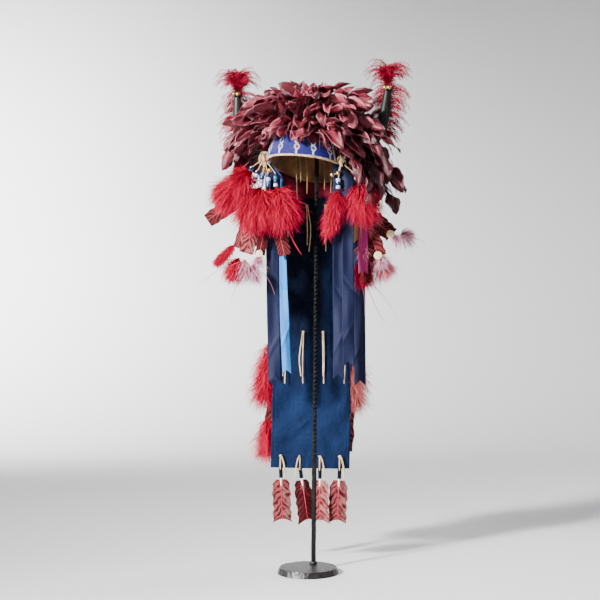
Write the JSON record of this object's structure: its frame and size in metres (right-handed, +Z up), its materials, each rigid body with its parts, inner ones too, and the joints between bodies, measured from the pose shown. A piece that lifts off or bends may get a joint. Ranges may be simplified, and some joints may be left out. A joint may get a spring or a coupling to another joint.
{
  "type": "feathered headdress on a display stand",
  "caption": "Horned headdress of trimmed dyed feathers over a hide cap with a beaded brow band, side plumes, ribbons and a long cloth trailer, on a round-footed iron stand.",
  "frame": {"origin": "centre of the stand plate's underside, on the surface that it stands on", "axes": "+Z up along the stand; the headdress faces -Y, and +X is the wearer's left"},
  "size_m": [0.462, 0.3744, 1.128],
  "materials": {
    "black_iron": "satin, hammered",
    "padded_cloth": "matt",
    "hide": "matt",
    "pale_hide": "matt",
    "blue_beads": "gloss",
    "leaf_red": "satin",
    "horn_black": "satin, polished horn",
    "plume_red": "matt",
    "brass": "polished",
    "glass_beads": "gloss",
    "barred_red": "satin",
    "navy_ribbon": "ribbed, satin",
    "sky_ribbon": "satin",
    "rose_ribbon": "satin",
    "tan_ribbon": "satin",
    "blue_cotton": "matt",
    "red_cloth": "matt"
  },
  "bodies": {
    "root": {"stand_plate": "black_iron", "stand_rod": "black_iron", "stand_head": "padded_cloth", "cap_shell": "hide", "rim_binding": "pale_hide", "brow_band": "blue_beads", "cap_tie": "pale_hide", "horn_right": "horn_black", "horn_bells_right": "brass", "temple_knot_right": "pale_hide", "temple_bells_right": "brass", "horn_plume_right": "plume_red", "horn_hackles_right": "plume_red", "horn_left": "horn_black", "horn_bells_left": "brass", "temple_knot_left": "pale_hide", "temple_bells_left": "brass", "horn_plume_left": "plume_red", "horn_hackles_left": "plume_red", "bead_strand_right_1": "glass_beads", "side_feather_right_1": "barred_red", "bead_strand_right_2": "glass_beads", "side_feather_right_2": "barred_red", "bead_strand_right_3": "glass_beads", "side_feather_right_3": "barred_red", "bead_strand_right_4": "glass_beads", "side_feather_right_4": "barred_red", "bead_strand_right_5": "glass_beads", "side_feather_right_5": "barred_red", "bead_strand_left_1": "glass_beads", "bead_strand_left_2": "glass_beads", "side_feather_left_1": "barred_red", "side_feather_left_2": "barred_red", "side_feather_left_3": "barred_red", "ear_plume_right_1": "plume_red", "ear_plume_right_2": "plume_red", "ear_plume_right_3": "plume_red", "ear_plume_left_1": "plume_red", "ear_plume_left_2": "plume_red", "ribbon_right_navy_1": "navy_ribbon", "ribbon_right_navy_2": "navy_ribbon", "ribbon_right_sky": "sky_ribbon", "ribbon_left_navy_1": "navy_ribbon", "ribbon_left_navy_2": "navy_ribbon", "ribbon_left_navy_3": "navy_ribbon", "ribbon_left_rose": "rose_ribbon", "ribbon_left_tan": "tan_ribbon", "trailer_header": "red_cloth", "trailer_cloth": "blue_cotton", "trailer_feathers_upper": "barred_red", "trailer_feathers_lower": "barred_red", "crown_feathers": "leaf_red", "pendant_thong_1": "pale_hide", "pendant_feather_1": "barred_red", "pendant_thong_2": "pale_hide", "pendant_feather_2": "barred_red", "pendant_thong_3": "pale_hide", "pendant_feather_3": "barred_red", "pendant_thong_4": "pale_hide", "pendant_feather_4": "barred_red"}
  },
  "joints": []
}
